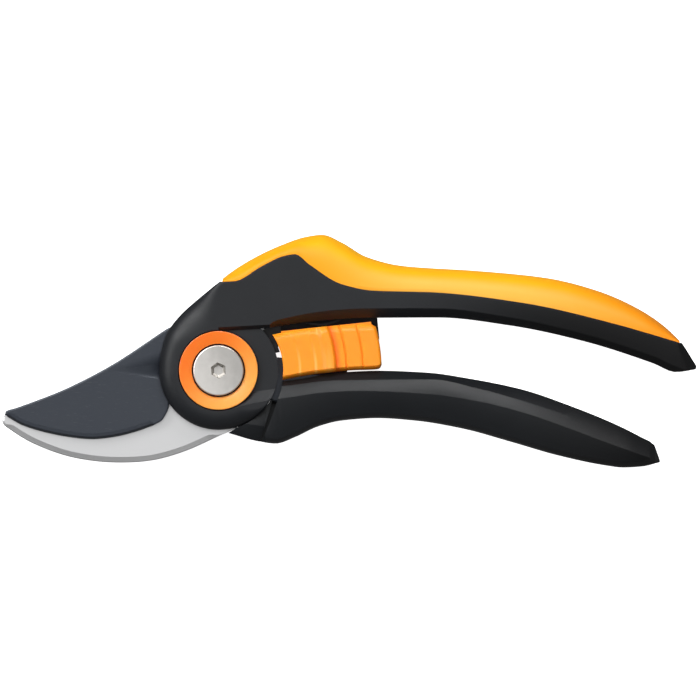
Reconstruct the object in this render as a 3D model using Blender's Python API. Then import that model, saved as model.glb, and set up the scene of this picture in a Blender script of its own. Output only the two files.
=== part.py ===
"""Bypass pruner, lying flat on its back side with its handles closed and locked.

Frame: +X runs from the pivot to the handle ends, +Y towards the upper handle, +Z up out of the front
face. The origin is on the pivot axis, in the plane that the tool rests on. The design is written in
millimetres and built in metres.
"""
import math

import bmesh
import bpy
from mathutils import Matrix, Vector

MM = 0.001
GAP = 0.3

# Layers from the back face up.
MIDDLE = 8.85
CHEEK_BACK = 1.0
CHEEK_FRONT = 16.7
SLOT_BACK = 5.2
SLOT_FRONT = 12.3
HOOK_BACK = 5.5
HOOK_FRONT = 8.7
BLADE_BACK = 9.0
BLADE_FRONT = 12.0
POCKET_FRONT = 13.9
RIDGE_HALF = 8.85

# Pivot.
HEAD_RADIUS = 17.2
RING_INNER = 7.7
RING_OUTER = 11.35
RING_THICK = 1.7
RING_RECESS_FRONT = 15.1
RING_RECESS_BACK = 2.7
NUT_RECESS_BACK = 3.3
BOLT_HEAD_RADIUS = 7.35
BOLT_TOP = 17.6
BOLT_RADIUS = 3.2
SOCKET_WIDTH = 4.0
SOCKET_DEPTH = 1.8
SOCKET_TURN = math.radians(8.0)
NUT_WIDTH = 12.0
NUT_CAP = 0.6
SLEEVE_INNER = 3.5
SLEEVE_OUTER = 4.8
PIVOT_BORE = 5.1
WASHER_OUTER = 8.2
POCKET_RADIUS = 12.8
HEEL_RADIUS = 13.5
WEB_RADIUS = 14.5

# Opening spring: a flat spiral of round wire.
WIRE_RADIUS = 0.6
SPRING_START = 9.4
SPRING_PITCH = 1.5
SPRING_TURNS = 1.6
SPRING_ANGLE = math.radians(205.0)
SPRING_LEG = 3.0
SPRING_LEVEL = 13.0

# Lock slider: runs along a line turned a little above +X.
SLIDE_ANGLE = math.radians(6.0)
SLIDE_CENTRE = (31.3, 5.6)
SLIDE_TRAVEL = 7.0
PAD_INNER_ARC = 18.7
PAD_OUTER_ARC = 47.2
PAD_FRONT = 17.2
PAD_THICK = 4.8
RAIL_HALF = 1.0
GUIDE_PIN_RADIUS = 1.3
GUIDE_PINS = (-6.0, 4.0)
GUIDE_HEIGHT = 5.0
LOCK_PIN = (21.8, 3.0)
LOCK_PIN_RADIUS = 1.5

# Rivets.
RIVET_RADIUS = 2.0
RIVET_HEAD = 3.0
HOOK_RIVETS = ((11.0, 20.0), (24.0, 22.5))
BLADE_RIVETS = ((27.0, -6.3), (38.0, -6.0))

# Upper handle, as heights Y over X: back of the handle, edge of the grip, lower edge of the flat face,
# and underside.
UPPER_TOP = ((-13.4, 13.2), (-9.4, 17.6), (-2.4, 23.7), (4.5, 29.1), (11.4, 33.2), (18.4, 36.4),
             (25.3, 38.7), (30.0, 39.3), (35.7, 37.0), (42.7, 32.9), (53.0, 30.3), (75.0, 28.8),
             (94.7, 26.8), (108.6, 23.4), (122.4, 17.3), (132.8, 9.2), (138.2, 1.3))
GRIP_EDGE = ((0.8, 25.6), (4.7, 25.8), (12.5, 30.1), (19.0, 33.1), (22.2, 33.6), (26.3, 30.6),
             (35.5, 25.0), (44.7, 23.1), (61.7, 22.6), (88.2, 19.5), (114.8, 13.4), (133.4, 7.9))
UPPER_CHAMFER = ((-13.4, 10.6), (0.0, 12.3), (5.6, 12.8), (26.3, 15.8), (52.5, 18.3), (61.7, 18.3),
                 (74.9, 17.0), (101.5, 12.0), (128.0, 3.4), (138.2, 0.8))
UPPER_UNDER = ((-13.4, 9.5), (0.0, 11.3), (14.4, 12.3), (26.4, 14.1), (43.2, 15.2), (63.5, 15.3),
               (84.3, 13.0), (105.1, 8.6), (125.9, 2.0), (132.3, -0.5), (138.2, 0.3))
UPPER_HALF = ((-13.4, 7.85), (110.0, 7.85), (130.0, 7.4), (138.2, 4.5))
UPPER_STATIONS = (-13.4, -9.0, -4.0, 0.6, 1.0, 6.0, 12.0, 14.4, 18.0, 22.0, 26.0, 30.0, 34.0, 38.0,
                  43.0, 50.0, 60.0, 72.0, 84.0, 96.0, 108.0, 118.0, 126.0, 131.0, 133.3, 133.6, 138.2)
GRIP_START = 1.3
GRIP_END = 133.0
RIB_START = 28.0
RIB_END = 122.0
RIB_HALF = 3.2
RIB_SHARE = 0.45

# Lower handle, as heights Y over X: top, edge of the top band, ridge and underside.
LOWER_TOP = ((11.0, -3.6), (18.6, -3.2), (25.8, -2.5), (31.0, -1.5), (38.0, -0.5), (46.1, -0.1),
             (60.0, -0.6), (73.9, -2.6), (87.8, -5.5), (101.6, -10.2), (115.5, -15.9), (122.4, -19.4),
             (126.0, -21.5), (127.6, -25.8))
LOWER_BAND = ((11.0, -5.0), (18.7, -4.5), (33.6, -2.9), (61.7, -2.6), (74.9, -5.2), (88.2, -8.9),
              (101.5, -13.2), (114.8, -18.2), (124.0, -22.4), (127.6, -26.0))
LOWER_RIDGE = ((11.0, -8.6), (17.1, -8.2), (31.2, -6.3), (40.8, -5.9), (61.7, -6.9), (74.9, -8.9),
               (88.2, -12.2), (101.5, -16.8), (114.8, -21.8), (124.0, -25.0), (127.6, -26.2))
LOWER_UNDER = ((2.8, -18.1), (11.4, -20.5), (16.6, -21.2), (21.9, -19.4), (28.8, -16.2), (35.7, -14.5),
               (46.0, -13.8), (56.5, -14.5), (70.4, -16.8), (84.3, -20.6), (98.2, -24.6),
               (112.0, -27.5), (117.0, -28.1), (122.4, -27.8), (127.6, -26.6))
LOWER_STATIONS = (11.0, 14.0, 16.6, 20.0, 25.0, 31.0, 38.0, 46.0, 56.0, 66.0, 78.0, 90.0, 102.0,
                  114.0, 121.0, 126.0, 127.6)
LOWER_HALF = ((11.0, 1.0), (118.0, 1.0), (126.0, 0.85), (127.6, 0.5))
JOINT_LINE = ((18.6, -2.0), (18.1, -5.7), (17.2, -8.2), (14.9, -14.8), (12.2, -21.5))
CHIN_EDGE = ((16.0, -6.0), (15.1, -8.6), (10.6, -21.5))
CHIN_FRONT = 14.5
CHIN_FLOOR = 9.3
GROOVE_FLOOR = 11.0
TANG_END = 44.0

# Blades.
HOOK_OUTER = ((-62.7, -14.7), (-60.9, -16.9), (-54.3, -20.9), (-45.4, -24.4), (-36.6, -26.2),
              (-27.7, -26.7), (-18.9, -26.0), (-10.0, -23.5), (-1.2, -19.6), (5.9, -16.0), (11.0, -9.5),
              (13.8, -2.0))
HOOK_TANG = ((13.8, 4.0), (15.0, 13.8), (19.0, 18.2), (30.0, 19.4), (30.0, 25.6), (16.0, 27.0),
             (6.0, 23.0), (-3.0, 16.5), (-9.0, 9.5))
HOOK_INNER = ((-12.0, 5.0), (-13.0, -4.5), (-17.0, -9.0), (-24.0, -13.2), (-32.0, -15.8),
              (-40.0, -16.2), (-48.0, -15.2), (-56.0, -13.8), (-61.4, -13.3))
BLADE_BACK_EDGE = ((-61.8, -12.7), (-61.2, -11.6), (-56.8, -10.2), (-44.0, -5.2), (-30.2, 2.0),
                   (-16.3, 11.2), (-13.8, 12.6))
BLADE_TANG = ((17.0, 3.8), (19.5, 3.6), (19.7, 0.9), (26.0, -0.6), (43.0, -3.0), (TANG_END, -4.5),
              (43.0, -9.4), (17.0, -9.2))
BLADE_HEEL = ((-14.2, -8.9), (-14.2, -10.7), (-15.1, -12.0), (-15.6, -13.8))
BLADE_CUTTING_EDGE = ((-23.3, -17.3), (-29.9, -19.1), (-36.6, -19.9), (-43.2, -19.3), (-49.9, -18.0),
                      (-56.5, -16.0), (-60.9, -13.6))


def slope_at(points, index):
    """Slope of the smooth curve at one of its points, kept low enough that it never overshoots."""
    if index == 0 or index == len(points) - 1:
        first, last = points[max(index - 1, 0)], points[min(index + 1, len(points) - 1)]
        return (last[1] - first[1]) / (last[0] - first[0])
    before, here, after = points[index - 1:index + 2]
    run_before, run_after = here[0] - before[0], after[0] - here[0]
    rise_before, rise_after = (here[1] - before[1]) / run_before, (after[1] - here[1]) / run_after
    if rise_before * rise_after <= 0.0:
        return 0.0
    weight_before, weight_after = run_before + 2 * run_after, 2 * run_before + run_after
    return (weight_before + weight_after) / (weight_before / rise_before + weight_after / rise_after)


def height(points, x):
    """Height at x of a smooth curve through points that run along X."""
    last = len(points) - 2
    index = next((i for i in range(last) if x < points[i + 1][0]), last)
    (x0, y0), (x1, y1) = points[index], points[index + 1]
    run = x1 - x0
    t = min(max((x - x0) / run, 0.0), 1.0)
    rise = y1 - y0
    enter, leave = slope_at(points, index) * run, slope_at(points, index + 1) * run
    return y0 + t * (enter + t * (3 * rise - 2 * enter - leave + t * (enter + leave - 2 * rise)))


def smooth_run(points, steps):
    """Points along a smooth curve through the given ones, a few steps between each pair."""
    padded = [Vector(points[0]) * 2 - Vector(points[1])]
    padded += [Vector(point) for point in points]
    padded.append(Vector(points[-1]) * 2 - Vector(points[-2]))
    run = []
    for a, b, c, d in zip(padded, padded[1:], padded[2:], padded[3:]):
        for step in range(steps):
            t = step / steps
            bend = (c - a) * t + (2 * a - 5 * b + 4 * c - d) * t * t + (3 * b - a - 3 * c + d) * t ** 3
            run.append(tuple(b + bend * 0.5))
    return run + [tuple(points[-1])]


def arc(radius, start, end, steps):
    """Points on a circle about the pivot axis, from one angle in degrees to another."""
    angles = [math.radians(start + (end - start) * step / steps) for step in range(steps + 1)]
    return [(radius * math.cos(angle), radius * math.sin(angle)) for angle in angles]


def widened(outline, margin):
    """A counter-clockwise outline with every edge moved outwards by the margin."""
    points = [Vector(point) for point in outline]
    moved = []
    for before, here, after in zip(points[-1:] + points, points, points[1:] + points[:1]):
        enter, leave = (here - before).normalized(), (after - here).normalized()
        out_enter, out_leave = Vector((enter.y, -enter.x)), Vector((leave.y, -leave.x))
        spread = out_enter + out_leave
        moved.append(tuple(here + spread * (2 * margin / spread.length_squared)))
    return moved


def slide_point(along, across):
    """World place of a point given along and across the slider's path."""
    cos, sin = math.cos(SLIDE_ANGLE), math.sin(SLIDE_ANGLE)
    return (SLIDE_CENTRE[0] + along * cos - across * sin, SLIDE_CENTRE[1] + along * sin + across * cos)


def slide_block(start, end, low, high):
    """Four corners of a block that lies along the slider's path."""
    return [slide_point(start, low), slide_point(end, low), slide_point(end, high),
            slide_point(start, high)]


def finished(name, mesh):
    """A new object that holds the mesh, with its faces turned outwards."""
    bmesh.ops.recalc_face_normals(mesh, faces=mesh.faces[:])
    data = bpy.data.meshes.new(name)
    mesh.to_mesh(data)
    mesh.free()
    made = bpy.data.objects.new(name, data)
    bpy.context.collection.objects.link(made)
    return made


def prism(name, outline, low, high):
    """An outline in the XY plane, raised from one level to another."""
    mesh = bmesh.new()
    corners = [mesh.verts.new((x * MM, y * MM, low * MM)) for x, y in outline]
    floor = mesh.faces.new(corners)
    raised = bmesh.ops.extrude_face_region(mesh, geom=[floor])["geom"]
    top = [item for item in raised if isinstance(item, bmesh.types.BMVert)]
    bmesh.ops.translate(mesh, verts=top, vec=(0, 0, (high - low) * MM))
    return finished(name, mesh)


def drum(name, radius, low, high, centre=(0.0, 0.0), sides=36, turn=0.0, rim=0.0):
    """A round or many-sided block along Z, with an optional chamfer round both rims."""
    mesh = bmesh.new()
    place = Matrix.Translation(Vector((*centre, (low + high) / 2)) * MM) @ Matrix.Rotation(turn, 4, "Z")
    bmesh.ops.create_cone(mesh, cap_ends=True, segments=sides, radius1=radius * MM, radius2=radius * MM,
                          depth=(high - low) * MM, matrix=place)
    if rim:
        rims = [edge for edge in mesh.edges if abs(edge.verts[0].co.z - edge.verts[1].co.z) < MM / 100]
        bmesh.ops.bevel(mesh, geom=rims, offset=rim * MM, segments=1, profile=0.5, affect="EDGES",
                        material=-1)
    return finished(name, mesh)


def loft(name, sections):
    """A skin through closed sections with the same number of corners, closed at both ends."""
    mesh = bmesh.new()
    rings = []
    for section in sections:
        corners = [mesh.verts.new(Vector(point) * MM) for point in section]
        rings.append([mesh.edges.new((corners[i - 1], corners[i])) for i in range(len(corners))])
        if section in (sections[0], sections[-1]):
            mesh.faces.new(corners)
    for near, far in zip(rings, rings[1:]):
        bmesh.ops.bridge_loops(mesh, edges=near + far)
    return finished(name, mesh)


def combine(body, other, operation):
    """Cut the other shape out of the body, or join it on, and keep it as a hidden guide."""
    modifier = body.modifiers.new(other.name, "BOOLEAN")
    modifier.object = other
    modifier.operation = operation
    modifier.solver = "EXACT"
    other.hide_render = True
    other.display_type = "WIRE"


def cut(body, *cutters):
    for cutter in cutters:
        combine(body, cutter, "DIFFERENCE")


def join(body, *others):
    for other in others:
        combine(body, other, "UNION")


def half_turned(section, x):
    """A section given as (height, half width) pairs, mirrored about the middle plane at x."""
    front = [(x, y, MIDDLE + half) for y, half in section]
    back = [(x, y, MIDDLE - half) for y, half in reversed(section)]
    return front + back


def upper_section(x):
    """The black handle at x: underside, lower chamfer, flat face and crest."""
    under, chamfer, half = height(UPPER_UNDER, x), height(UPPER_CHAMFER, x), height(UPPER_HALF, x)
    covered = GRIP_START - GAP <= x <= GRIP_END + GAP
    crest = height(GRIP_EDGE if covered else UPPER_TOP, x)
    bevel = min(0.4 if covered else 1.6, 0.25 * (crest - under))
    return half_turned([(under, half * 0.57), (chamfer, half), (crest - bevel, half),
                        (crest, half - bevel)], x)


def grip_section(x):
    """The soft grip at x: a rounded cap from the grip's edge up to the back of the handle."""
    low, top, half = height(GRIP_EDGE, x) + GAP, height(UPPER_TOP, x), height(UPPER_HALF, x) - 0.3
    rise = top - low
    swell = min(1.0, rise / 6.0) * (RIDGE_HALF - half)
    return half_turned([(low, half), (low + 0.4 * rise, half + swell), (low + 0.72 * rise, half * 0.92),
                        (low + 0.92 * rise, half * 0.66), (top, half * 0.3)], x)


def rib_section(x, grow):
    """The rib that stands up from the black handle inside the soft grip."""
    low, top = height(GRIP_EDGE, x), height(UPPER_TOP, x)
    crown = low + (top - low) * RIB_SHARE + grow
    return half_turned([(low - 1.5, RIB_HALF + grow), (crown, RIB_HALF + grow)], x)


def rib(name, grow):
    stations = [RIB_START - grow]
    stations += [x for x in UPPER_STATIONS if RIB_START + 1 < x < RIB_END - 1] + [RIB_END + grow]
    return loft(name, [rib_section(x, grow) for x in stations])


def lower_section(x):
    """The lower handle at x: underside, main face, ridge, upper facet, top band and top."""
    top, under, scale = height(LOWER_TOP, x), height(LOWER_UNDER, x), height(LOWER_HALF, x)
    ridge = min(height(LOWER_RIDGE, x), top - 0.3)
    band = max(height(LOWER_BAND, x), ridge + 0.1)
    profile = [(under, 4.4), (under + min(1.4, 0.2 * (top - under)), 6.6), (ridge, RIDGE_HALF),
               (min(band, top - 0.1), 7.5), (top, 4.8)]
    return half_turned([(y, half * scale) for y, half in profile], x)


def bore(name, centre, radius, low, high):
    return drum(name, radius, low, high, centre=centre, sides=20)


def spring_wire(points):
    """A round wire along the points."""
    curve = bpy.data.curves.new("torsion_spring", "CURVE")
    curve.dimensions = "3D"
    curve.bevel_depth = WIRE_RADIUS * MM
    curve.bevel_resolution = 2
    curve.use_fill_caps = True
    spline = curve.splines.new("POLY")
    spline.points.add(len(points) - 1)
    for place, point in zip(spline.points, points):
        place.co = (*(Vector(point) * MM), 1.0)
    wire = bpy.data.objects.new("torsion_spring", curve)
    bpy.context.collection.objects.link(wire)
    return wire


def upper_handle():
    """The black upper handle with the pivot head, its slots, recesses, pockets and bores."""
    body = loft("upper_handle_core", [upper_section(x) for x in UPPER_STATIONS])
    join(body, drum("head_guide", HEAD_RADIUS, CHEEK_BACK, CHEEK_FRONT, sides=72, rim=1.2),
         rib("rib_guide", 0.0))
    jaw_slot = [(-2.5, 45.0)] + arc(WEB_RADIUS, 98.0, 28.0, 14) + [(30.0, 7.0), (30.0, -30.0),
                                                                   (-45.0, -30.0), (-45.0, 45.0)]
    cut(body, prism("jaw_slot_guide", jaw_slot, SLOT_BACK, SLOT_FRONT),
        prism("tang_slot_guide", widened(HOOK_TANG + ((0.0, 0.0),), GAP), SLOT_BACK, HOOK_FRONT + GAP),
        drum("ring_recess_guide", RING_OUTER + GAP, RING_RECESS_FRONT, CHEEK_FRONT + 2),
        drum("back_ring_recess_guide", RING_OUTER + GAP, -2.0, RING_RECESS_BACK),
        drum("nut_recess_guide", 7.4, -2.0, NUT_RECESS_BACK),
        drum("bolt_bore_guide", BOLT_RADIUS + GAP, -2.0, CHEEK_FRONT + 2, sides=32),
        drum("spring_pocket_guide", POCKET_RADIUS, SLOT_FRONT - 1, POCKET_FRONT))
    end = SPRING_ANGLE + math.tau * SPRING_TURNS
    notch = drum("spring_notch_guide", 1.0, SLOT_FRONT - 1, POCKET_FRONT - 0.1, sides=16,
                 centre=(13.4 * math.cos(end), 13.4 * math.sin(end)))
    cut(body, notch)
    for number, centre in enumerate(HOOK_RIVETS, 1):
        cut(body, bore(f"hook_rivet_bore_guide_{number}", centre, RIVET_RADIUS + GAP, -2.0, 11.8),
            bore(f"hook_rivet_head_guide_{number}", centre, RIVET_HEAD + GAP, -2.0, 2.6))
    cut(body, prism("rail_channel_guide", slide_block(-13.3, 15.8, 5.0, 12.0),
                    MIDDLE - RAIL_HALF - GAP, MIDDLE + RAIL_HALF + GAP),
        prism("detent_pocket_guide", slide_block(-9.0, 9.0, 5.0, 11.2), 10.5, 13.2))
    return body


def soft_grip():
    stations = [GRIP_START] + [x for x in UPPER_STATIONS if GRIP_START + 1 < x < GRIP_END - 1] + [GRIP_END]
    body = loft("upper_soft_grip", [grip_section(x) for x in stations])
    cut(body, rib("rib_cavity_guide", GAP))
    return body


def lower_handle():
    """The black lower handle, with the chin plate that lies beside the head, and the tang's slot."""
    body = loft("lower_handle_core", [lower_section(x) for x in LOWER_STATIONS])
    line = list(JOINT_LINE)
    cut(body, prism("joint_line_guide", [(5.0, 5.0), (18.6, 5.0)] + line + [(12.0, -30.0), (5.0, -30.0)],
                    -2.0, 20.0))
    under = [(x, height(LOWER_UNDER, x)) for x in (2.8, 6.0, 9.0, 10.9)]
    rim = arc(HEAD_RADIUS + 0.4, -29.7, -72.0, 10)
    chin = under + [(10.9, -19.9), (15.2, -8.7)] + rim
    bridge = under + [(15.0, height(LOWER_UNDER, 15.0)), (22.0, -16.0), (20.0, -9.0), (15.2, -8.7)] + rim
    join(body, prism("chin_guide", chin, CHIN_FLOOR, CHIN_FRONT),
         prism("chin_bridge_guide", bridge, CHIN_FLOOR, GROOVE_FLOOR))
    slot = [(8.0, -9.8), (TANG_END + GAP, -9.8), (TANG_END + GAP, 5.0), (8.0, 5.0)]
    cut(body, prism("blade_tang_slot_guide", slot, BLADE_BACK - GAP, BLADE_FRONT + GAP))
    for number, centre in enumerate(BLADE_RIVETS, 1):
        cut(body, bore(f"blade_rivet_bore_guide_{number}", centre, RIVET_RADIUS + GAP, -2.0, 13.8),
            bore(f"blade_rivet_head_guide_{number}", centre, RIVET_HEAD + GAP, -2.0, 2.6))
    return body


def hook():
    outline = smooth_run(HOOK_OUTER, 3) + list(HOOK_TANG) + smooth_run(HOOK_INNER, 3)
    body = prism("hook_blade", outline, HOOK_BACK, HOOK_FRONT)
    cut(body, drum("hook_bore_guide", PIVOT_BORE, 0.0, 20.0))
    for number, centre in enumerate(HOOK_RIVETS, 1):
        cut(body, bore(f"hook_hole_guide_{number}", centre, RIVET_RADIUS + GAP, 0.0, 20.0))
    return body


def spring_points():
    """The spring's wire: a leg down into the blade, the flat spiral, and a leg out into the head."""
    steps = 36
    spiral = []
    for step in range(steps + 1):
        turn = SPRING_TURNS * step / steps
        radius, angle = SPRING_START + SPRING_PITCH * turn, SPRING_ANGLE + math.tau * turn
        spiral.append((radius * math.cos(angle), radius * math.sin(angle), SPRING_LEVEL))
    x, y, _ = spiral[0]
    leg = [(x, y, SPRING_LEVEL - SPRING_LEG), (x, y, SPRING_LEVEL - WIRE_RADIUS)]
    far_x, far_y, _ = spiral[-1]
    stretch = 13.2 / math.hypot(far_x, far_y)
    return leg + spiral[1:] + [(far_x * stretch, far_y * stretch, SPRING_LEVEL)]


def cutting_blade():
    outline = smooth_run(BLADE_BACK_EDGE, 3) + arc(HEEL_RADIUS, 137.6, 17.0, 16) + list(BLADE_TANG)
    outline += arc(HEEL_RADIUS, -34.0, -143.0, 14) + list(BLADE_HEEL) + smooth_run(BLADE_CUTTING_EDGE, 3)
    body = prism("cutting_blade", outline, BLADE_BACK, BLADE_FRONT)
    leg = spring_points()[0]
    cut(body, drum("blade_bore_guide", PIVOT_BORE, 0.0, 20.0),
        bore("spring_hole_guide", leg[:2], WIRE_RADIUS + GAP, 0.0, 20.0))
    for number, centre in enumerate(BLADE_RIVETS, 1):
        cut(body, bore(f"blade_hole_guide_{number}", centre, RIVET_RADIUS + GAP, 0.0, 20.0))
    return body


def ring(name, inner, outer, low, high, rim=0.0):
    body = drum(name, outer, low, high, rim=rim)
    cut(body, drum(f"{name}_guide", inner, low - 1, high + 1))
    return body


def bolt():
    body = drum("pivot_bolt", BOLT_HEAD_RADIUS, BOLT_TOP - 2.2, BOLT_TOP, rim=0.3)
    join(body, drum("shank_guide", BOLT_RADIUS, NUT_CAP + GAP, BOLT_TOP - 2.0, sides=32))
    corner = SOCKET_WIDTH / math.sqrt(3.0)
    cut(body, drum("socket_guide", corner, BOLT_TOP - SOCKET_DEPTH, BOLT_TOP + 1, sides=6,
                   turn=SOCKET_TURN))
    return body


def nut():
    body = drum("pivot_nut", NUT_WIDTH / math.sqrt(3.0), 0.0, NUT_RECESS_BACK - GAP, sides=6, rim=0.25)
    cut(body, drum("nut_bore_guide", BOLT_RADIUS + GAP, NUT_CAP, 6.0, sides=32))
    return body


def rivet(name, centre, head_level, top):
    body = drum(name, RIVET_HEAD, head_level, head_level + 1.0, centre=centre, sides=24)
    join(body, drum(f"{name}_guide", RIVET_RADIUS, head_level + 0.5, top, centre=centre, sides=24))
    return body


def pad_outline():
    """Front view of the slider: two arcs about the pivot, joined by nearly straight edges."""
    inner = arc(PAD_INNER_ARC, 33.6, -8.2, 8)
    lower = [(24.0, -1.7), (31.2, -0.7), (38.4, 0.0), (45.7, 0.3)]
    outer = arc(PAD_OUTER_ARC, 2.4, 15.6, 6)
    return inner + lower + outer + [(44.9, 13.5)]


def slider_half(name, side):
    """Half of the slider: its thumb pad, the block beside the rail and half of the web below it."""
    def levels(near, far):
        return sorted((MIDDLE + side * near, MIDDLE + side * far))

    pad_face = PAD_FRONT - MIDDLE
    pad_floor = pad_face - PAD_THICK
    body = prism(name, pad_outline(), *levels(pad_floor, pad_face))
    join(body, prism(f"{name}_block_guide", slide_block(-12.6, 13.6, 2.2, 7.1),
                     *levels(RAIL_HALF + GAP, pad_floor + 0.8)),
         prism(f"{name}_neck_guide", slide_block(-9.8, 12.2, 1.0, 3.0),
               *levels(RAIL_HALF + GAP + 0.1, pad_floor + 1.0)),
         prism(f"{name}_web_guide", slide_block(-9.6, 12.0, -0.3, 1.5),
               *levels(GAP / 2, pad_floor + 1.2)))
    for number, along in enumerate(GUIDE_PINS, 1):
        cut(body, bore(f"{name}_pin_bore_guide_{number}", slide_point(along, GUIDE_HEIGHT),
                       GUIDE_PIN_RADIUS + GAP, *levels(-1.0, 6.0)))
    cut(body, bore(f"{name}_lock_bore_guide", LOCK_PIN, LOCK_PIN_RADIUS + GAP, *levels(-1.0, 6.8)))
    return body


def slide_rail():
    body = prism("slide_rail", slide_block(-13.0, 15.5, 1.8, 11.7), MIDDLE - RAIL_HALF, MIDDLE + RAIL_HALF)
    play = GUIDE_PIN_RADIUS + 0.35
    window = slide_block(GUIDE_PINS[0] - play, GUIDE_PINS[1] + SLIDE_TRAVEL + play,
                         GUIDE_HEIGHT - play, GUIDE_HEIGHT + play)
    cut(body, prism("rail_window_guide", window, 0.0, 20.0))
    return body


def detent_spring():
    """A bowed leaf in the handle that presses on the top of the slider."""
    thick = 0.5
    spans = [-8.6 + 17.2 * step / 12 for step in range(13)]
    bow = [(along, 10.2 - 2.7 * math.cos(along / 8.6 * math.pi / 2)) for along in spans]
    low = [slide_point(along, across) for along, across in bow]
    high = [slide_point(along, across + thick) for along, across in reversed(bow)]
    return prism("detent_spring", low + high, 10.8, 12.9)


def principled(name, colour, roughness, metallic):
    material = bpy.data.materials.new(name)
    material.use_nodes = True
    shader = material.node_tree.nodes["Principled BSDF"]
    shader.inputs["Base Color"].default_value = (*colour, 1.0)
    shader.inputs["Roughness"].default_value = roughness
    shader.inputs["Metallic"].default_value = metallic
    return material


BLACK = ((0.022, 0.023, 0.026), 0.55, 0.0)
YELLOW = ((1.0, 0.42, 0.01), 0.5, 0.0)
ORANGE = ((1.0, 0.29, 0.03), 0.4, 0.0)
COATED = ((0.05, 0.055, 0.07), 0.35, 0.4)
BRIGHT = ((0.6, 0.6, 0.62), 0.3, 1.0)
STEEL = ((0.5, 0.49, 0.47), 0.35, 1.0)
BRONZE = ((0.5, 0.33, 0.14), 0.4, 1.0)


def place(body, finish, parent=None):
    """Give a finished piece its own material, smooth round faces and the part it moves with."""
    body.data.materials.append(principled(f"{body.name}_finish", *finish))
    if body.type == "MESH":
        body.data.shade_smooth()
        body.data.set_sharp_from_angle(angle=math.radians(30))
    if parent:
        body.parent = parent
        body.matrix_parent_inverse = Matrix.Translation(parent.location).inverted()


def carrier(name, x, y):
    """An empty on a joint's axis, which carries the pieces that move with it."""
    empty = bpy.data.objects.new(name, None)
    empty.location = Vector((x, y, MIDDLE)) * MM
    bpy.context.collection.objects.link(empty)
    return empty


def build():
    for item in list(bpy.data.objects):
        bpy.data.objects.remove(item, do_unlink=True)
    hinge = carrier("handle_hinge", 0.0, 0.0)
    slide = carrier("lock_carrier", *SLIDE_CENTRE)

    place(upper_handle(), BLACK)
    place(soft_grip(), YELLOW)
    place(hook(), BRIGHT)
    place(ring("front_bearing_ring", RING_INNER, RING_OUTER, RING_RECESS_FRONT + GAP,
               RING_RECESS_FRONT + GAP + RING_THICK, rim=0.3), ORANGE)
    place(ring("back_bearing_ring", RING_INNER, RING_OUTER, RING_RECESS_BACK - GAP - RING_THICK,
               RING_RECESS_BACK - GAP, rim=0.3), ORANGE)
    place(bolt(), STEEL)
    place(nut(), STEEL)
    place(ring("pivot_sleeve", SLEEVE_INNER, SLEEVE_OUTER, HOOK_BACK, POCKET_FRONT - GAP), BRONZE)
    place(ring("thrust_washer", PIVOT_BORE, WASHER_OUTER, SLOT_FRONT, POCKET_FRONT - GAP), BRONZE)
    place(spring_wire(spring_points()), STEEL)
    place(slide_rail(), STEEL)
    place(detent_spring(), STEEL)
    for number, centre in enumerate(HOOK_RIVETS, 1):
        place(rivet(f"hook_rivet_{number}", centre, 1.3, 11.5), STEEL)

    place(lower_handle(), BLACK, hinge)
    place(cutting_blade(), COATED, hinge)
    for number, centre in enumerate(BLADE_RIVETS, 1):
        place(rivet(f"blade_rivet_{number}", centre, 1.3, 13.5), STEEL, hinge)

    place(slider_half("lock_slider_front", 1), ORANGE, slide)
    place(slider_half("lock_slider_back", -1), ORANGE, slide)
    for number, along in enumerate(GUIDE_PINS, 1):
        pin = drum(f"lock_slider_pin_{number}", GUIDE_PIN_RADIUS, MIDDLE - 5.7, MIDDLE + 5.7,
                   centre=slide_point(along, GUIDE_HEIGHT), sides=20)
        place(pin, STEEL, slide)
    place(drum("lock_pin", LOCK_PIN_RADIUS, MIDDLE - 6.5, MIDDLE + 6.5, centre=LOCK_PIN, sides=24),
          STEEL, slide)


build()
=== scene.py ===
"""Looks of the bypass pruner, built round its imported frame. Plans are in millimetres, meshes in metres."""
import math

import bmesh
import bpy
from mathutils import Matrix, Vector


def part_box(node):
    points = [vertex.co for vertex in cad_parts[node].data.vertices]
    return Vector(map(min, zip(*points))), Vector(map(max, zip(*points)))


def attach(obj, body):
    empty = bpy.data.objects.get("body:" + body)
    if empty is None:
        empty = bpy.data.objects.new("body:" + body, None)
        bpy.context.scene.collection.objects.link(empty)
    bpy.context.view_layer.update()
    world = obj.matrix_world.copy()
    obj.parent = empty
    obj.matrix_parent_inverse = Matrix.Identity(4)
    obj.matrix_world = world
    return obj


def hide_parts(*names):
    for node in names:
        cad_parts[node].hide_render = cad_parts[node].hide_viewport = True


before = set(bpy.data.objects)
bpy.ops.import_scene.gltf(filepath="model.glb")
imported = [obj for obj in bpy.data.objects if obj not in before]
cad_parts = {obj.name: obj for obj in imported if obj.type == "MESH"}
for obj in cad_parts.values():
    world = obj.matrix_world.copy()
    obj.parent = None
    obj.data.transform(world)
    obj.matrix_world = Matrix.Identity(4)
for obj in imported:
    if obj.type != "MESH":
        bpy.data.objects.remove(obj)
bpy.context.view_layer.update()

MM = 0.001


def level(node, side):
    """Lowest (0) or highest (1) level of a node of the frame, in millimetres."""
    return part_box(node)[side].z / MM


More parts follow.
